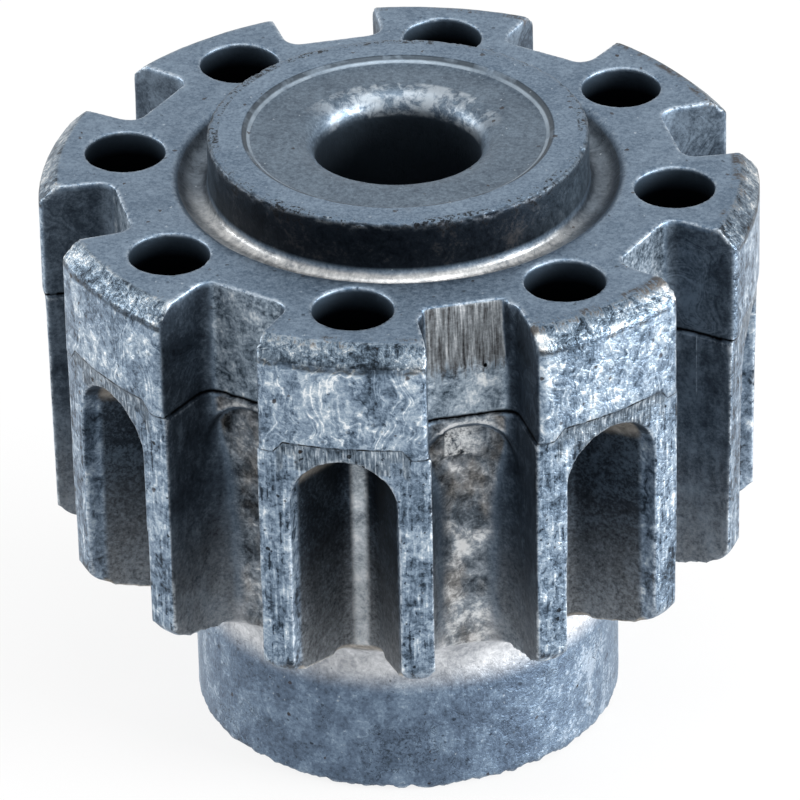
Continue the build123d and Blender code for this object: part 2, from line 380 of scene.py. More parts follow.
def casting_places(tree):
    """Where a point of the casting lies and which way it looks, in millimetres round the nearest tooth."""
    coordinates = add(tree, "ShaderNodeTexCoord").outputs["Object"]
    place = add(tree, "ShaderNodeVectorMath", {0: coordinates, "Scale": 1 / MM}, operation="SCALE")
    axes = add(tree, "ShaderNodeSeparateXYZ", {0: place})
    flat = add(tree, "ShaderNodeVectorMath", {0: place, 1: (1, 1, 0)}, operation="MULTIPLY")
    radius = add(tree, "ShaderNodeVectorMath", {0: flat}, operation="LENGTH").outputs["Value"]
    outwards = add(tree, "ShaderNodeVectorMath", {0: flat}, operation="NORMALIZE")
    sidewards = add(tree, "ShaderNodeVectorMath", {0: outwards, 1: (0, 0, 1)}, operation="CROSS_PRODUCT")
    normal = add(tree, "ShaderNodeNewGeometry").outputs["Normal"]
    facing = add(tree, "ShaderNodeVectorMath", {0: normal, 1: outwards}, operation="DOT_PRODUCT")
    slant = add(tree, "ShaderNodeVectorMath", {0: normal, 1: sidewards}, operation="DOT_PRODUCT")
    angle = add(tree, "ShaderNodeMath", {0: axes.outputs["Y"], 1: axes.outputs["X"]}, operation="ARCTAN2")
    turned = add(tree, "ShaderNodeMath", {0: angle, 1: TOOTH_ANGLE}, operation="SUBTRACT")
    pitches = add(tree, "ShaderNodeMath", {0: turned, 1: PITCH}, operation="DIVIDE")
    tooth = add(tree, "ShaderNodeMath", {0: pitches}, operation="ROUND")
    part_pitch = add(tree, "ShaderNodeMath", {0: pitches, 1: tooth}, operation="SUBTRACT")
    tooth_turn = add(tree, "ShaderNodeMath", {0: part_pitch, 1: PITCH}, operation="MULTIPLY")
    sine = add(tree, "ShaderNodeMath", {0: tooth_turn}, operation="SINE")
    cosine = add(tree, "ShaderNodeMath", {0: tooth_turn}, operation="COSINE")
    across = product(tree, radius, sine)
    off_tooth = add(tree, "ShaderNodeMath", {0: tooth_turn}, operation="ABSOLUTE")
    gap_turn = add(tree, "ShaderNodeMath", {0: PITCH / 2, 1: off_tooth}, operation="SUBTRACT")
    gap_sine = add(tree, "ShaderNodeMath", {0: gap_turn}, operation="SINE")
    trim_turn = add(tree, "ShaderNodeMath", {0: angle, 1: TRIM_ANGLE}, operation="SUBTRACT")
    backward = add(tree, "ShaderNodeMath", {0: axes.outputs["Y"], 1: radius}, operation="DIVIDE")
    frontward = product(tree, backward, -1.0)
    return SimpleNamespace(
        place=place,
        rightward=axes.outputs["X"],
        frontward=frontward,
        # Painted light: 0 at the front, 1 at the sides and the back, to make those parts lighter
        painted_side_light=add(tree, "ShaderNodeMapRange", {
            "Value": frontward, "From Min": 0.9, "From Max": 0.3}, interpolation_type="SMOOTHSTEP"),
        trim_across=product(tree, radius, trim_turn),
        height=axes.outputs["Z"],
        radius=radius,
        angle=angle,
        tooth=tooth,
        across=across,
        half_across=add(tree, "ShaderNodeMath", {0: across}, operation="ABSOLUTE"),
        half_gap=product(tree, radius, gap_sine),
        out=product(tree, radius, cosine),
        facing=facing.outputs["Value"],
        sideways=add(tree, "ShaderNodeMath", {0: slant.outputs["Value"]}, operation="ABSOLUTE"),
        upward=add(tree, "ShaderNodeSeparateXYZ", {0: normal}).outputs["Z"],
        edge=add(tree, "ShaderNodeAttribute", attribute_name="edge").outputs["Fac"],
    )


def casting_zones(tree, at):
    """Parts of the casting that weather differently or carry painted light and shade, each as a mask."""
    outward = add(tree, "ShaderNodeMapRange", {
        "Value": at.facing, "From Min": 0.4, "From Max": 0.75}, interpolation_type="SMOOTHSTEP")
    wall = add(tree, "ShaderNodeMapRange", {
        "Value": at.sideways, "From Min": 0.3, "From Max": 0.8}, interpolation_type="SMOOTHSTEP")
    straight_out = add(tree, "ShaderNodeMapRange", {
        "Value": at.facing, "From Min": 0.75, "From Max": 0.97}, interpolation_type="SMOOTHSTEP")
    in_scoop = product(
        tree, band(tree, at.half_across, -FAR, SCOOP_HALF, 0.15),
        band(tree, at.height, TEETH_BOTTOM, SEAM_HEIGHT - 0.2, 0.3),
        band(tree, at.radius, SCOOP_INNER, TIP_RADIUS - 2.0, 0.6))
    # Narrow upright strip down the middle of each scoop's floor, for a painted highlight
    scoop_floor = product(
        tree, in_scoop, straight_out, band(tree, at.radius, SCOOP_INNER, 21.5, 0.4),
        band(tree, at.half_across, -FAR, 0.25, 0.6))
    arch_rise = add(tree, "ShaderNodeMath", {0: at.height, 1: NICHE_SPRING}, operation="SUBTRACT")
    arch_up = add(tree, "ShaderNodeMath", {0: arch_rise, 1: 0.0}, operation="MAXIMUM")
    arch_offset = add(tree, "ShaderNodeCombineXYZ", {0: at.half_gap, 1: arch_up})
    hole_out = add(tree, "ShaderNodeMath", {0: at.out, 1: HOLE_CIRCLE}, operation="SUBTRACT")
    hole_offset = add(tree, "ShaderNodeCombineXYZ", {0: hole_out, 1: at.across})
    hole_distance = add(tree, "ShaderNodeVectorMath", {0: hole_offset}, operation="LENGTH").outputs["Value"]
    return SimpleNamespace(
        tooth_face=product(
            tree, outward, band(tree, at.radius, TIP_RADIUS - 1.5, FAR, 0.5),
            band(tree, at.height, TEETH_BOTTOM, FACE_TOP, 0.6)),
        chamfer=product(
            tree, band(tree, at.height, CROWN_HEIGHT - 1.6, CROWN_HEIGHT, 0.1),
            band(tree, at.radius, TIP_RADIUS - 1.7, FAR, 0.15), band(tree, at.upward, 0.3, 0.9, 0.1)),
        hub=product(
            tree, outward, band(tree, at.radius, 12, HUB_RADIUS + 1.0, 1.0),
            band(tree, at.height, -FAR, 10.5, 2.0)),
        neck=product(
            tree, band(tree, at.height, 11.6, 16.5, 2.6), band(tree, at.radius, 16.6, 21.5, 1.0),
            band(tree, at.upward, -FAR, 0.05, 0.3)),
        root=product(
            tree, straight_out, band(tree, at.radius, 20, GAP_ROOT_RADIUS + 0.9, 0.4),
            band(tree, at.half_across, SCOOP_LIP_HALF, FAR, 0.2),
            band(tree, at.height, TEETH_BOTTOM, CROWN_HEIGHT, 0.1)),
        wall=product(
            tree, wall, band(tree, at.radius, 20, TIP_RADIUS - 0.5, 0.35),
            band(tree, at.height, TEETH_BOTTOM, FACE_TOP, 0.5)),
        scoop=in_scoop,
        # Down-facing roof of each scoop, for a painted reflection of the floor
        scoop_dome=product(tree, in_scoop, band(tree, at.upward, -FAR, -0.45, 0.3)),
        scoop_lip=product(
            tree, band(tree, at.half_across, SCOOP_LIP_HALF - 0.85, SCOOP_LIP_HALF, 0.1),
            band(tree, at.radius, TIP_RADIUS - 1.6, FAR, 0.6),
            band(tree, at.height, TEETH_BOTTOM, SEAM_HEIGHT - 0.3, 0.2)),
        scoop_floor=scoop_floor,
        hole=product(
            tree, band(tree, hole_distance, -FAR, HOLE_RADIUS + 0.12, 0.15),
            band(tree, at.height, HOLE_BOTTOM, CROWN_HEIGHT - 0.5, 0.4)),
        bore=product(
            tree, band(tree, at.radius, -FAR, BORE_RADIUS + 0.1, 0.2),
            band(tree, at.height, -FAR, BORE_TOP, 0.7)),
        boss_wall=product(
            tree, band(tree, at.facing, 0.5, FAR, 0.3), band(tree, at.radius, 14, BOSS_RADIUS + 0.35, 0.4),
            band(tree, at.height, 47.0, BOSS_TOP - 0.35, 0.5)),
        groove=product(
            tree, band(tree, at.radius, BOSS_RADIUS + 0.1, GROOVE_RADIUS - 0.05, 0.15),
            band(tree, at.height, 44, CROWN_HEIGHT - 0.4, 0.3)),
        rim=product(
            tree, band(tree, at.radius, BOSS_RADIUS - 0.85, BOSS_RADIUS + 0.55, 0.2),
            band(tree, at.height, BOSS_TOP - 1.0, FAR, 0.2)),
        arch=add(tree, "ShaderNodeVectorMath", {0: arch_offset}, operation="LENGTH").outputs["Value"],
    )


def seam_line(tree, at, mottle):
    """Parting line, as a mask for a painted dark line of shadow and dirt: level in the gaps, with a raised
    middle on each tooth face, and a little uneven.
    """
    jog = add(tree, "ShaderNodeMapRange", {
        "Value": at.half_across, "From Min": SEAM_JOG_HALF, "From Max": SEAM_JOG_HALF - SEAM_JOG_RUN,
        "To Max": SEAM_RISE})
    on_face = band(tree, at.radius, TIP_RADIUS - 1.0, FAR, 0.3)
    level = add(tree, "ShaderNodeMath", {0: product(tree, jog, on_face), 1: SEAM_HEIGHT}, operation="ADD")
    wavy = add(tree, "ShaderNodeMath", {0: mottle, 1: 0.3, 2: level}, operation="MULTIPLY_ADD")
    middle = add(tree, "ShaderNodeMath", {0: wavy, 1: 0.15}, operation="SUBTRACT")
    above = add(tree, "ShaderNodeMath", {0: at.height, 1: middle}, operation="SUBTRACT")
    off = add(tree, "ShaderNodeMath", {0: above}, operation="ABSOLUTE")
    width = add(tree, "ShaderNodeMapRange", {"Value": on_face, "To Min": 0.26, "To Max": 0.13})
    line = add(tree, "ShaderNodeMapRange", {
        "Value": off, "From Min": width, "From Max": 0.03}, interpolation_type="SMOOTHSTEP")
    teeth_only = band(tree, at.radius, GAP_ROOT_RADIUS - 1.0, FAR, 0.3)
    broken = add(tree, "ShaderNodeMapRange", {
        "Value": mottle, "From Min": 0.4, "From Max": 0.56, "To Min": 0.25, "To Max": 1.0})
    share = add(tree, "ShaderNodeMix", {0: on_face, 2: 1.0, 3: broken})
    return product(tree, line, teeth_only, share), above


def casting_patterns(tree, at):
    """Patterns of the cast skin, each from 0 to 1 about a middle of one half."""
    skin = SimpleNamespace()
    drawn_out = add(tree, "ShaderNodeVectorMath", {0: at.place, 1: FLOW_STRETCH}, operation="MULTIPLY")
    for name, (size, detail, roughness, distortion) in CLOUDS.items():
        noise = add(tree, "ShaderNodeTexNoise", {
            "Vector": drawn_out if name == "flow" else at.place, "Scale": 1 / size, "Detail": detail,
            "Roughness": roughness, "Distortion": distortion})
        setattr(skin, name, noise.outputs[0])

    # Strokes along the faces: marks bent with the clouds above the parting line, all others upright
    upper = band(tree, at.height, SEAM_HEIGHT + 0.6, FAR, 0.6)
    off_middle = add(tree, "ShaderNodeMath", {0: skin.cloud, 1: 0.5}, operation="SUBTRACT")
    bend = product(tree, off_middle, upper, MARK_BEND)
    bent_across = add(tree, "ShaderNodeMath", {0: at.across, 1: bend}, operation="ADD")
    for name, (width, length, roughness) in STROKES.items():
        place = add(tree, "ShaderNodeCombineXYZ", {
            0: product(tree, bent_across if name == "marks" else at.across, 1 / width),
            1: product(tree, at.height, 1 / length), 2: product(tree, at.tooth, TOOTH_SHIFT)})
        noise = add(tree, "ShaderNodeTexNoise", {
            "Vector": place, "Scale": 1.0, "Detail": 2.0, "Roughness": roughness})
        setattr(skin, name, noise.outputs[0])

    skin.roots = mixture(tree, (skin.cloud, 0.6), (skin.mottle, 0.9), (skin.grain, 0.5))
    skin.scuff = add(tree, "ShaderNodeMapRange", {
        "Value": mixture(tree, (skin.flow, 1.0), (skin.grain, 0.2)), "From Min": 0.59, "From Max": 0.66},
        interpolation_type="SMOOTHSTEP")
    return skin


def mixture(tree, *parts):
    """Patterns added up, each with its weight."""
    total = 0.0
    for pattern, weight in parts:
        total = add(tree, "ShaderNodeMath", {0: pattern, 1: weight, 2: total}, operation="MULTIPLY_ADD")
    return total


def toned(tree, value, low, high, *tones):
    """Colours spread evenly over a range of a value."""
    share = add(tree, "ShaderNodeMapRange", {"Value": value, "From Min": low, "From Max": high})
    ramp = add(tree, "ShaderNodeValToRGB", {0: share})
    stops = ramp.color_ramp.elements
    while len(stops) < len(tones):
        stops.new(0.5)
    for k, tone in enumerate(tones):
        stops[k].position = k / (len(tones) - 1)
        stops[k].color = linear(tone)
    return ramp


def speck_cells(tree, at, skin, cell):
    """Cells of a size in millimetres that may hold specks, with uneven borders."""
    offset = add(tree, "ShaderNodeCombineXYZ", {0: skin.mottle, 1: skin.grain, 2: skin.mottle})
    ragged = add(tree, "ShaderNodeVectorMath", {0: offset, "Scale": 0.6}, operation="SCALE")
    moved = add(tree, "ShaderNodeVectorMath", {0: at.place, 1: ragged}, operation="ADD")
    cells = add(tree, "ShaderNodeTexVoronoi", {"Vector": moved, "Scale": 1 / cell})
    picks = add(tree, "ShaderNodeSeparateColor", {0: cells.outputs["Color"]}).outputs
    return SimpleNamespace(size=cell, distance=cells.outputs["Distance"], picks=picks)


def specks(tree, cells, pick, share, size):
    """Specks as a mask: one of three kinds, the share of cells that hold one, largest radius in mm."""
    radius = add(tree, "ShaderNodeMapRange", {
        "Value": cells.picks[pick], "From Min": 1 - share, "From Max": 1.0, "To Min": 0.0,
        "To Max": size / cells.size})
    inside = add(tree, "ShaderNodeMath", {0: radius, 1: cells.distance}, operation="SUBTRACT")
    return add(tree, "ShaderNodeMapRange", {
        "Value": inside, "From Min": 0.0, "From Max": 0.05 / cells.size}, interpolation_type="SMOOTHSTEP")


def flat_top(tree, at, skin):
    """Satin oxide of the flat top, and the duller one of the dish as a layer over it."""
    oxide_tone = mixture(tree, (skin.cloud, 0.5), (skin.mottle, 0.5), (skin.grain, 1.2))
    oxide = toned(tree, oxide_tone, *OXIDE_RANGE, "#56687b", "#8192a3")
    dish_oxide = toned(tree, oxide_tone, *OXIDE_RANGE, "#4a5765", "#72818f")
    in_dish = product(
        tree, band(tree, at.radius, BORE_RADIUS - 0.5, DISH_RADIUS - 0.05, 0.15),
        band(tree, at.height, CROWN_HEIGHT + 0.2, FAR, 0.3))
    return oxide, [(in_dish, dish_oxide)]


def rubbed_faces(tree, at, zone, skin):
    """Silver of the rubbed faces, and layers of it: bent marks above the parting line, streaks below it."""
    scratch = add(tree, "ShaderNodeMapRange", {"Value": skin.marks, "From Min": 0.57, "From Max": 0.7})
    gouge = product(tree, at.below_seam, add(tree, "ShaderNodeMapRange", {
        "Value": mixture(tree, (skin.marks, 1.0), (skin.mottle, 0.5)), "From Min": 0.62, "From Max": 0.54},
        interpolation_type="SMOOTHSTEP"))
    rub = mixture(
        tree, (skin.cloud, 0.6), (skin.mottle, 1.2), (skin.marks, 0.5), (skin.grain, 0.5), (skin.scuff, 0.12),
        (scratch, 0.16), (at.below_seam, -0.06), (gouge, -0.25))
    silver = toned(tree, rub, 1.1, 1.84, "#2a343f", "#5d6e80", "#8597aa", "#afbecb", "#eaeff2")
    chamfer_tone = mixture(tree, (skin.mottle, 1.1), (skin.hatch, 0.35), (skin.grain, 0.5), (skin.cloud, 0.7))
    chamfer_silver = toned(
        tree, chamfer_tone, 1.08, 1.62, "#20272e", "#465360", "#6d7c8a", "#a0a9b0", "#e0e1e0")

    # Hatched strip between the parting line and the scoop
    strip = product(
        tree, zone.tooth_face, band(tree, at.above_seam, -2.2, -0.1, 0.3),
        band(tree, at.half_across, -FAR, SEAM_JOG_HALF - 0.4, 0.3), 0.75)
    strip_tone = mixture(tree, (skin.hatch, 1.2), (skin.mottle, 0.6))
    strip_skin = toned(tree, strip_tone, 0.66, 1.14, "#1f262d", "#4b5763", "#74818d", "#c3ccd4")
    return silver, [(zone.tooth_face, silver), (zone.chamfer, chamfer_silver), (strip, strip_skin)]


def hub_and_neck(tree, at, zone, skin):
    """Layers of the hub, where the metal filled the die last, lighter away from its front as painted light,
    and of its neck, paler with a painted reflection of the floor.
    """
    flow = mixture(
        tree, (skin.flow, 0.35), (skin.mottle, 0.4), (skin.grain, 0.4), (skin.scuff, 0.05), (at.painted_side_light, 0.13))
    hub_skin = toned(tree, flow, 0.42, 0.82, "#3b4652", "#546376", "#647589", "#76889b", "#a2b0bf")
    neck_floor_reflection = toned(tree, skin.roots, *ROOT_RANGE, "#8e9298", "#dadcdf")
    return [(zone.hub, hub_skin), (zone.neck, neck_floor_reflection)]


def gap_roots(tree, at, zone, skin):
    """Layers of the gaps' roots, cloudy and greyer in the niches, lighter in the middle and darker towards
    the corners as painted light and shade, with a painted highlight on each arch's crest and painted shade
    under it, and of the trimmed one.
    """
    patchy = mixture(tree, (skin.cloud, 0.6), (skin.flow, 0.4), (skin.mottle, 0.3))
    # Painted light and shade across each gap: lighter in the middle, darker towards the corners
    middle = add(tree, "ShaderNodeMapRange", {
        "Value": at.half_gap, "From Min": 3.4, "From Max": 0.8, "To Min": -0.12, "To Max": 0.06},
        interpolation_type="SMOOTHSTEP")
    crest_highlight = band(tree, zone.arch, NICHE_HALF - 0.05, NICHE_HALF + 0.35, 0.25)
    shade_under_crest = band(tree, zone.arch, NICHE_HALF - 0.9, NICHE_HALF - 0.2, 0.5)
    niche_tone = mixture(
        tree, (skin.roots, 0.7), (patchy, 0.8), (middle, 0.8), (crest_highlight, 0.16), (shade_under_crest, -0.1))
    root_skin = toned(tree, mixture(tree, (skin.roots, 1.1), (middle, 0.4)), 0.84, 1.4,
                      "#303b46", "#71808e", "#a6b4c1", "#e6ebee")
    niche_blue = toned(tree, niche_tone, *NICHE_RANGE, "#272c32", "#555e67", "#8b949d", "#dde0e2")
    niche_grey = toned(tree, niche_tone, *NICHE_RANGE, "#292929", "#595959", "#8f8f8f", "#dbdbdb")
    greyness = add(tree, "ShaderNodeMapRange", {"Value": skin.flow, "From Min": 0.42, "From Max": 0.62})
    niche_skin = add(tree, "ShaderNodeMix", {0: greyness, 6: niche_blue, 7: niche_grey}, data_type="RGBA")
    in_niche = band(tree, at.height, TEETH_BOTTOM, SEAM_HEIGHT - 0.2, 0.2)
    root_colour = add(tree, "ShaderNodeMix", {0: in_niche, 6: root_skin, 7: niche_skin}, data_type="RGBA")

    # Upright scrape lines from the top down, in the trimmed root only
    scrape_place = add(tree, "ShaderNodeCombineXYZ", {
        0: product(tree, at.trim_across, 1 / SCRAPE_WIDTH), 1: product(tree, at.height, 1 / SCRAPE_LENGTH)})
    scrape_noise = add(tree, "ShaderNodeTexNoise", {
        "Vector": scrape_place, "Scale": 1.0, "Detail": 3.0, "Roughness": 0.7}).outputs[0]
    scrape_tone = mixture(tree, (scrape_noise, 1.0), (skin.grain, 0.3), (skin.cloud, 0.3))
    scrape_skin = toned(tree, scrape_tone, 0.55, 1.05, "#1b1d1f", "#56585b", "#7d8388", "#abb0b5", "#e4e6e7")
    scrape_end = mixture(tree, (at.height, 1.0), (scrape_noise, -4.0), (skin.grain, -2.0))
    scrape = product(
        tree, zone.root, band(tree, at.trim_across, -3.6, 3.4, 0.2), band(tree, scrape_end, 39.6, FAR, 1.6))
    return [(zone.root, root_colour), (scrape, scrape_skin)]


def inner_walls(tree, at, zone, skin, silver):
    """Walls and scoops as layers, darkened as painted shade and lighter away from the front as painted light,
    with a painted highlight down each scoop's floor and a painted reflection of the floor on each scoop's
    roof, and the dust on them, which is thickest at the bottom.
    """
    # Painted shade: the walls and scoops are darkened as recesses
    wall_tone = mixture(
        tree, (skin.marks, 0.5), (skin.mottle, 0.4), (skin.cloud, 0.5), (skin.grain, 0.5), (at.painted_side_light, 0.1))
    shaded_wall_skin = toned(tree, wall_tone, 0.7, 1.25, "#1e252e", "#414c58", "#6e7c8a")
    scoop_tone = mixture(tree, (skin.cloud, 0.6), (skin.mottle, 0.4), (skin.grain, 0.8), (at.painted_side_light, 0.12))
    shaded_scoop_skin = toned(tree, scoop_tone, 0.7, 1.15, "#171c23", "#2a323b", "#4e5b68")
    dust_fall = add(tree, "ShaderNodeMapRange", {
        "Value": at.height, "From Min": 30.0, "From Max": 15.0}, interpolation_type="SMOOTHSTEP")
    dust_patch = add(tree, "ShaderNodeMapRange", {
        "Value": mixture(tree, (skin.mottle, 0.5), (skin.grain, 0.7)), "From Min": 0.4, "From Max": 0.85,
        "To Min": 0.15, "To Max": 0.95})
    dust = product(tree, dust_fall, dust_patch)
    scoop_colour = add(tree, "ShaderNodeMix", {0: dust, 6: shaded_scoop_skin, 7: linear(DUST)}, data_type="RGBA")
    wall_colour = add(tree, "ShaderNodeMix", {0: dust, 6: shaded_wall_skin, 7: linear(DUST)}, data_type="RGBA")
    # Painted highlight down each scoop's floor, and a painted reflection of the floor on each scoop's roof
    scoop_floor_highlight = toned(tree, skin.roots, *ROOT_RANGE, "#79838c", "#c4ccd3", "#fafbfc")
    floor_colour = add(tree, "ShaderNodeMix", {
        0: product(tree, dust, 0.5), 6: scoop_floor_highlight, 7: linear("#8a8580")}, data_type="RGBA")
    dome_floor_reflection = toned(tree, skin.roots, *ROOT_RANGE, "#6b6863", "#b5b0a9")
    lip = product(tree, zone.scoop_lip, 0.8)
    return dust, [
        (zone.wall, wall_colour), (zone.scoop, scoop_colour), (lip, silver), (zone.scoop_floor, floor_colour),
        (zone.scoop_dome, dome_floor_reflection),
    ]


def groove_and_bores(tree, at, zone, skin):
    """Layers of the groove, with a painted reflection at its front, of the boss's wall, with painted shade at
    its front, and of the bore and the holes, darker deeper down as painted shade.
    """
    # Painted reflection on the groove and painted shade on the boss's wall, both strongest at the front
    front_light_and_shade = add(tree, "ShaderNodeMapRange", {
        "Value": at.frontward, "From Min": 0.1, "From Max": 0.75}, interpolation_type="SMOOTHSTEP")
    groove_side = toned(tree, skin.roots, *ROOT_RANGE, "#39434d", "#75808b")
    groove_front_reflection = toned(tree, skin.roots, *ROOT_RANGE, "#8b8f93", "#eeeeec")
    groove_skin = add(tree, "ShaderNodeMix", {0: front_light_and_shade, 6: groove_side, 7: groove_front_reflection}, data_type="RGBA")
    boss_side = toned(tree, skin.roots, *ROOT_RANGE, "#232c35", "#53606c")
    boss_front_shade = toned(tree, skin.roots, *ROOT_RANGE, "#0f141a", "#1a2027", "#38383a")
    boss_skin = add(tree, "ShaderNodeMix", {0: front_light_and_shade, 6: boss_side, 7: boss_front_shade}, data_type="RGBA")
    # Painted shade: the holes and the bore darken with depth
    hole_depth_shade = toned(tree, at.height, 43.5, 46.9, "#05080c", "#0a0f15", "#3f4c59")
    bore_depth_shade = toned(tree, at.height, 20.0, 48.4, "#1a222a", "#3d4853")
    return [
        (zone.groove, groove_skin), (zone.boss_wall, boss_skin), (zone.hole, hole_depth_shade),
        (zone.bore, bore_depth_shade),
    ]


def worn_and_highlit_edges(tree, at, zone, skin, colour):
    """Edges worn bright and given painted highlights, apart from the boss's rim and the foot of the chamfers;
    inner corners darkened with painted shade.
    """
    at_chamfer_foot = product(
        tree, band(tree, at.height, CROWN_HEIGHT - 2.2, CROWN_HEIGHT - 1.2, 0.1),
        band(tree, at.radius, TIP_RADIUS - 1.0, FAR, 0.2))
    hole_rim = product(
        tree, band(tree, at.out, HOLE_CIRCLE - 3.85, HOLE_CIRCLE + 3.75, 0.2),
        band(tree, at.half_across, -FAR, HOLE_RADIUS + 0.5, 0.2), 0.6)
    kept_dark = add(tree, "ShaderNodeMath", {0: zone.rim, 1: at_chamfer_foot}, operation="MAXIMUM")
    kept_dark = add(tree, "ShaderNodeMath", {0: kept_dark, 1: hole_rim}, operation="MAXIMUM")
    worn_and_highlit_share = add(tree, "ShaderNodeMapRange", {"Value": kept_dark, "To Min": 0.6, "To Max": 0.1})
    # Bright convex edges: partly wear, partly painted highlight
    worn_and_highlit = product(
        tree, worn_and_highlit_share,
        add(tree, "ShaderNodeMapRange", {
            "Value": at.edge, "From Min": 0.03, "From Max": 0.1}, interpolation_type="SMOOTHSTEP"),
        add(tree, "ShaderNodeMapRange", {
            "Value": mixture(tree, (skin.mottle, 0.7), (skin.grain, 0.4)),
            "From Min": 0.46, "From Max": 0.66}))
    colour = add(tree, "ShaderNodeMix", {0: worn_and_highlit, 6: colour, 7: linear("#ccd5dd")}, data_type="RGBA")
    # Painted shade in the inner corners
    corner_shade = add(tree, "ShaderNodeMapRange", {
        "Value": at.edge, "From Min": -0.03, "From Max": -0.12, "To Max": 0.6},
        interpolation_type="SMOOTHSTEP")
    return add(tree, "ShaderNodeMix", {0: corner_shade, 6: colour, 7: linear("#12161b")}, data_type="RGBA")


def wear_marks(tree, at, zone, skin):
    """Single marks of wear, dirt and trimming, and of painted light and shade, each as a mask with its tone.
    """
    # Painted highlight on the step of the dish, and flakes on the far side of the bore's lead-in
    dish_bevel_highlight = product(
        tree, band(tree, at.radius, DISH_RADIUS - 0.75, DISH_RADIUS + 0.1, 0.15),
        band(tree, at.height, BOSS_TOP - 0.8, FAR, 0.2),
        band(tree, at.upward, 0.3, 0.93, 0.04),
        add(tree, "ShaderNodeMapRange", {
            "Value": skin.flow, "From Min": 0.3, "From Max": 0.6, "To Min": 0.2, "To Max": 0.9}))
    lead_flakes = product(
        tree, band(tree, at.radius, 6.3, 8.3, 0.4), band(tree, at.height, 48.6, 50.4, 0.3),
        add(tree, "ShaderNodeMapRange", {
            "Value": mixture(tree, (skin.flow, 0.7), (skin.mottle, 0.8)), "From Min": 0.7, "From Max": 0.84}),
        add(tree, "ShaderNodeMapRange", {
            "Value": at.frontward, "From Min": -0.3, "From Max": -0.7, "To Max": 0.7}))

    # Thin cracks between the flakes of the hub
    crack_off = add(tree, "ShaderNodeMath", {0: skin.mottle, 1: 0.5}, operation="SUBTRACT")
    crack_line = add(tree, "ShaderNodeMath", {0: crack_off}, operation="ABSOLUTE")
    crack_here = add(tree, "ShaderNodeMapRange", {"Value": skin.cloud, "From Min": 0.52, "From Max": 0.62})
    crack = product(
        tree, zone.hub, crack_here, band(tree, at.height, -FAR, 8.5, 0.8),
        add(tree, "ShaderNodeMapRange", {"Value": crack_line, "From Min": 0.02, "From Max": 0.006}), 0.8)

    # In the trimmed gap: a painted square patch of light under the arch
    square_light_patch = product(
        tree,
        add(tree, "ShaderNodeMapRange", {"Value": at.trim_across, "From Min": -1.75, "From Max": -1.65}),
        add(tree, "ShaderNodeMapRange", {"Value": at.trim_across, "From Min": 1.4, "From Max": -0.4}),
        band(tree, at.height, 33.9, 36.3, 0.1), zone.root,
        add(tree, "ShaderNodeMapRange", {
            "Value": mixture(tree, (skin.mottle, 0.7), (skin.grain, 0.5)),
            "From Min": 0.46, "From Max": 0.7}))

    # Painted dark reflection under each chamfer, of uneven width
    line_height = mixture(tree, (at.height, 1.0), (skin.flow, 1.1), (skin.grain, 0.3))
    line_low = CROWN_HEIGHT - 1.15
    chamfer_dark_reflection = product(
        tree, zone.tooth_face, band(tree, line_height, line_low, line_low + 0.25, 0.3),
        add(tree, "ShaderNodeMapRange", {"Value": skin.mottle, "From Min": 0.3, "From Max": 0.55}), 0.85)

    # Painted shadow along the dish's step, and dirt caught along the boss's rim
    dish_step_shadow = product(
        tree, band(tree, at.radius, DISH_RADIUS - 0.1, DISH_RADIUS + 0.15, 0.14),
        band(tree, at.height, BOSS_TOP - 1.8, FAR, 0.2),
        add(tree, "ShaderNodeMapRange", {"Value": skin.flow, "From Min": 0.3, "From Max": 0.5}), 0.8)
    rim_noise = mixture(tree, (skin.mottle, 0.8), (skin.grain, 0.8), (skin.cloud, 0.5))
    rim_dirt = product(tree, zone.rim, add(tree, "ShaderNodeMapRange", {
        "Value": rim_noise, "From Min": 1.1, "From Max": 1.2}), 0.9)

    # One long scratch on the wall of the tooth beyond the right one
    wall_scratch = product(
        tree, zone.wall, band(tree, at.angle, -0.3, 0.0, 0.05), band(tree, at.radius, 25.05, 25.09, 0.05),
        band(tree, at.height, 32.0, 37.0, 0.8),
        add(tree, "ShaderNodeMapRange", {"Value": skin.mottle, "From Min": 0.4, "From Max": 0.6}), 0.7)
    return [
        (dish_bevel_highlight, "#96a3af"), (lead_flakes, "#b3bcc4"), (square_light_patch, "#e4e6e7"), (wall_scratch, "#aab7c3"),
        (chamfer_dark_reflection, "#10161d"), (dish_step_shadow, "#1d252d"), (rim_dirt, "#15171a"), (crack, "#1d232a"),
    ]


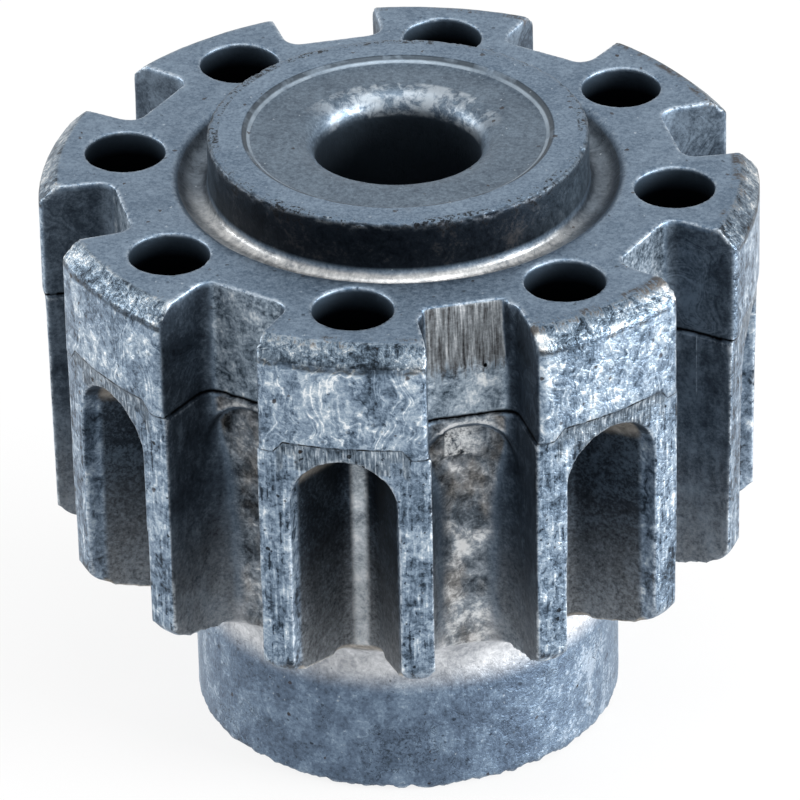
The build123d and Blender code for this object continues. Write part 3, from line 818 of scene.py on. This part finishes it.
def speck_marks(tree, at, zone, skin, coarse):
    """Pits in the rubbed metal, and dots and flecks on all of the bare skin, each as a mask with its tone."""
    large_cells = speck_cells(tree, at, skin, LARGE_CELL)
    small_cells = speck_cells(tree, at, skin, SMALL_CELL)
    pit = specks(tree, large_cells, 0, 0.45, 0.24)
    brown_dot = specks(tree, large_cells, 1, 0.2, 0.24)
    dark_dot = specks(tree, large_cells, 2, 0.3, 0.18)
    fine_pit = specks(tree, small_cells, 0, 0.5, 0.13)
    fleck = specks(tree, small_cells, 1, 0.2, 0.12)
    pit_zone = add(tree, "ShaderNodeMath", {0: coarse, 1: product(tree, zone.hub, 0.6)}, operation="MAXIMUM")
    fin_share = add(tree, "ShaderNodeMapRange", {"Value": at.below_seam, "To Min": 0.45, "To Max": 0.9})
    covered = 0.0
    for mask in (zone.wall, zone.scoop, zone.boss_wall, zone.root, zone.neck, zone.hole, zone.bore):
        covered = add(tree, "ShaderNodeMath", {0: covered, 1: mask}, operation="MAXIMUM")
    bare = add(tree, "ShaderNodeMath", {0: 1.0, 1: covered}, operation="SUBTRACT")
    return [
        (product(tree, fine_pit, pit_zone, fin_share), "#1f262e"),
        (product(tree, pit, pit_zone, fin_share), "#0f1318"),
        (product(tree, dark_dot, bare, 0.6), "#222a33"), (product(tree, fleck, bare, 0.5), "#c3cdd5"),
        (product(tree, brown_dot, bare, 0.7), "#33271f"),
    ]


def rust_and_pit(tree, at, zone, skin):
    """Rust along the chamfers' upper edges, most of it on the right, and the pit where the scrapes end."""
    rust_edge = product(
        tree, band(tree, at.height, CROWN_HEIGHT - 0.5, CROWN_HEIGHT + 1, 0.3),
        band(tree, at.radius, TIP_RADIUS - 2.0, TIP_RADIUS - 1.3, 0.4))
    rust_tone = mixture(tree, (skin.mottle, 0.6), (skin.grain, 0.4), (skin.cloud, 0.6))
    rust_side = add(tree, "ShaderNodeMapRange", {
        "Value": at.rightward, "From Min": -12.0, "From Max": 10.0, "To Min": -0.1, "To Max": 0.05})
    rust = product(tree, rust_edge, add(tree, "ShaderNodeMapRange", {
        "Value": mixture(tree, (rust_tone, 1.0), (rust_side, 1.0), (skin.hatch, 0.3)),
        "From Min": 0.94, "From Max": 1.1}, interpolation_type="SMOOTHSTEP"), 0.9)
    pit_place = add(tree, "ShaderNodeCombineXYZ", {0: at.trim_across, 1: at.height})
    pit_distance = add(tree, "ShaderNodeVectorMath", {0: pit_place, 1: PIT_PLACE}, operation="DISTANCE")
    ragged = mixture(tree, (pit_distance.outputs["Value"], 1.0), (skin.mottle, 0.5))
    scrape_pit = product(tree, zone.root, band(tree, ragged, -FAR, 0.4, 0.06))
    return rust, scrape_pit


def zinc_casting():
    """Zinc alloy, die cast: a satin blue-grey oxide skin, rubbed silver outside with painted highlights on
    its edges, painted shade and dust inside.
    """
    material, tree = new_material("zinc_alloy_die_cast")
    at = casting_places(tree)
    zone = casting_zones(tree, at)
    skin = casting_patterns(tree, at)
    seam_shadow_and_dirt, at.above_seam = seam_line(tree, at, skin.mottle)
    at.below_seam = add(tree, "ShaderNodeMapRange", {
        "Value": at.above_seam, "From Min": 0.1, "From Max": -0.1})

    # Zones laid over each other, from the oxide up
    colour, layers = flat_top(tree, at, skin)
    silver, face_layers = rubbed_faces(tree, at, zone, skin)
    dust, inner_layers = inner_walls(tree, at, zone, skin, silver)
    layers += face_layers + hub_and_neck(tree, at, zone, skin) + gap_roots(tree, at, zone, skin)
    layers += inner_layers + groove_and_bores(tree, at, zone, skin)
    for mask, layer in layers:
        colour = add(tree, "ShaderNodeMix", {0: mask, 6: colour, 7: layer}, data_type="RGBA")
    colour = worn_and_highlit_edges(tree, at, zone, skin, colour)

    # Marks on top of them
    coarse = add(tree, "ShaderNodeMath", {0: zone.tooth_face, 1: zone.chamfer}, operation="MAXIMUM")
    rust, scrape_pit = rust_and_pit(tree, at, zone, skin)
    marks = wear_marks(tree, at, zone, skin) + speck_marks(tree, at, zone, skin, coarse)
    # The seam's near-black line is painted shadow under its step, with dirt
    marks += [(rust, "#20160f"), (scrape_pit, "#05070a"), (seam_shadow_and_dirt, "#060709")]
    for mask, tone in marks:
        colour = add(tree, "ShaderNodeMix", {0: mask, 6: colour, 7: linear(tone)}, data_type="RGBA")

    # Dust and rust are no metal; the shaded walls and scoops and the oxide are duller than rubbed metal
    dull = 0.0
    for mask, share in ((zone.wall, 0.8), (zone.scoop, 0.8), (zone.hole, 1.0), (zone.bore, 0.2), (seam_shadow_and_dirt, 1.0),
                        (rust, 1.0), (zone.boss_wall, 0.2), (zone.neck, 1.0)):
        dull = add(tree, "ShaderNodeMath", {0: dull, 1: product(tree, mask, share)}, operation="MAXIMUM")
    shiny = add(tree, "ShaderNodeMath", {0: zone.tooth_face, 1: zone.groove}, operation="MAXIMUM")
    rough_sum = mixture(tree, (dull, 0.18), (shiny, -0.08), (skin.grain, 0.2))
    roughness = add(tree, "ShaderNodeMath", {0: rough_sum, 1: 0.38}, operation="ADD")
    earthy = add(tree, "ShaderNodeMath", {0: product(tree, zone.neck, 0.25), 1: rust}, operation="MAXIMUM")
    inside = add(tree, "ShaderNodeMath", {0: zone.wall, 1: zone.scoop}, operation="MAXIMUM")
    earth = add(tree, "ShaderNodeMath", {0: earthy, 1: product(tree, dust, inside)}, operation="MAXIMUM")
    metallic = add(tree, "ShaderNodeMath", {0: 1.0, 1: earth}, operation="SUBTRACT")

    relief = mixture(tree, (skin.mottle, 1.8), (skin.grain, 1.0), (skin.marks, 0.5))
    rough_zone = add(tree, "ShaderNodeMath", {0: coarse, 1: zone.hub}, operation="MAXIMUM")
    bump_strength = add(tree, "ShaderNodeMapRange", {"Value": rough_zone, "To Min": 0.2, "To Max": 0.8})
    bump = add(tree, "ShaderNodeBump", {
        "Strength": bump_strength, "Distance": RELIEF_DEPTH * MM, "Height": relief})
    shader = add(tree, "ShaderNodeBsdfPrincipled", {
        "Base Color": colour, "Metallic": metallic, "Roughness": roughness, "Normal": bump})
    add(tree, "ShaderNodeOutputMaterial", {"Surface": shader})
    return material


def seen_white(tree):
    """1 for rays from the camera, from gloss and from glass, 0 for the light that falls on the object."""
    path = add(tree, "ShaderNodeLightPath").outputs
    gloss = add(tree, "ShaderNodeMath", {
        0: path["Is Camera Ray"], 1: path["Is Glossy Ray"]}, operation="MAXIMUM")
    return add(tree, "ShaderNodeMath", {0: gloss, 1: path["Is Transmission Ray"]}, operation="MAXIMUM")


def studio():
    """Pale floor, white surroundings and soft boxes on both sides."""
    material, tree = new_material("pale_studio_floor")
    share = add(tree, "ShaderNodeMath", {0: seen_white(tree), 1: 0.85}, operation="MULTIPLY")
    paint = add(tree, "ShaderNodeBsdfDiffuse", {"Color": linear("#f4f4f4")})
    glow = add(tree, "ShaderNodeEmission", {"Color": linear("#ffffff"), "Strength": 1.0})
    mix = add(tree, "ShaderNodeMixShader", {0: share, 1: paint, 2: glow})
    add(tree, "ShaderNodeOutputMaterial", {"Surface": mix})
    bpy.ops.mesh.primitive_plane_add(size=6)
    floor = bpy.context.object
    floor.name = "studio_floor"
    floor.data.materials.append(material)

    world = bpy.data.worlds.new("white_studio")
    world.use_nodes = True
    tree = world.node_tree
    tree.nodes.clear()
    strength = add(tree, "ShaderNodeMapRange", {"Value": seen_white(tree), "To Min": 0.5, "To Max": 1.0})
    background = add(tree, "ShaderNodeBackground", {"Color": linear("#ffffff"), "Strength": strength})
    add(tree, "ShaderNodeOutputWorld", {"Surface": background})
    bpy.context.scene.world = world

    boxes = {
        "right_soft_box": ((0.7, -0.1, 0.14), 0.4, 12.0),
        "left_soft_box": ((-0.7, 0.0, 0.14), 0.4, 3.6),
        "top_soft_box": ((0.1, -0.1, 0.9), 0.5, 2.5),
    }
    for name, (place, size, power) in boxes.items():
        lamp = bpy.data.lights.new(name, "AREA")
        lamp.size = size
        lamp.energy = power
        lamp_object = bpy.data.objects.new(name, lamp)
        lamp_object.location = place
        aim = Vector((0, 0, 0.03)) - Vector(place)
        lamp_object.rotation_euler = aim.to_track_quat("-Z", "Y").to_euler()
        bpy.context.collection.objects.link(lamp_object)


def photo_camera():
    """Camera of the photograph: the target lands off the frame's centre, and the frame is rolled a little."""
    back = Vector((
        cos(CAMERA_ELEVATION) * sin(CAMERA_AZIMUTH),
        -cos(CAMERA_ELEVATION) * cos(CAMERA_AZIMUTH),
        sin(CAMERA_ELEVATION),
    ))
    level_right = Vector((cos(CAMERA_AZIMUTH), sin(CAMERA_AZIMUTH), 0))
    level_up = back.cross(level_right)
    right = level_right * cos(CAMERA_ROLL) - level_up * sin(CAMERA_ROLL)
    up = level_up * cos(CAMERA_ROLL) + level_right * sin(CAMERA_ROLL)
    data = bpy.data.cameras.new("photo_camera")
    data.lens = CAMERA_LENS
    data.sensor_width = 36
    data.clip_start = 0.01
    focal_pixels = data.lens / data.sensor_width * FRAME_PIXELS
    place = CAMERA_TARGET + back * CAMERA_DISTANCE
    behind = (back + (right * TARGET_OFFSET.x + up * TARGET_OFFSET.y) / focal_pixels).normalized()
    right = (right - behind * right.dot(behind)).normalized()
    turn = Matrix((right, behind.cross(right), behind)).transposed().to_4x4()
    camera = bpy.data.objects.new("photo_camera", data)
    camera.matrix_world = Matrix.Translation(place) @ turn
    bpy.context.collection.objects.link(camera)
    bpy.context.scene.camera = camera


casting = cast_body(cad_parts["impeller_hub"], zinc_casting())
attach(casting, "root")
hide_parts("impeller_hub")

studio()
photo_camera()
bpy.context.scene.view_settings.view_transform = "Standard"
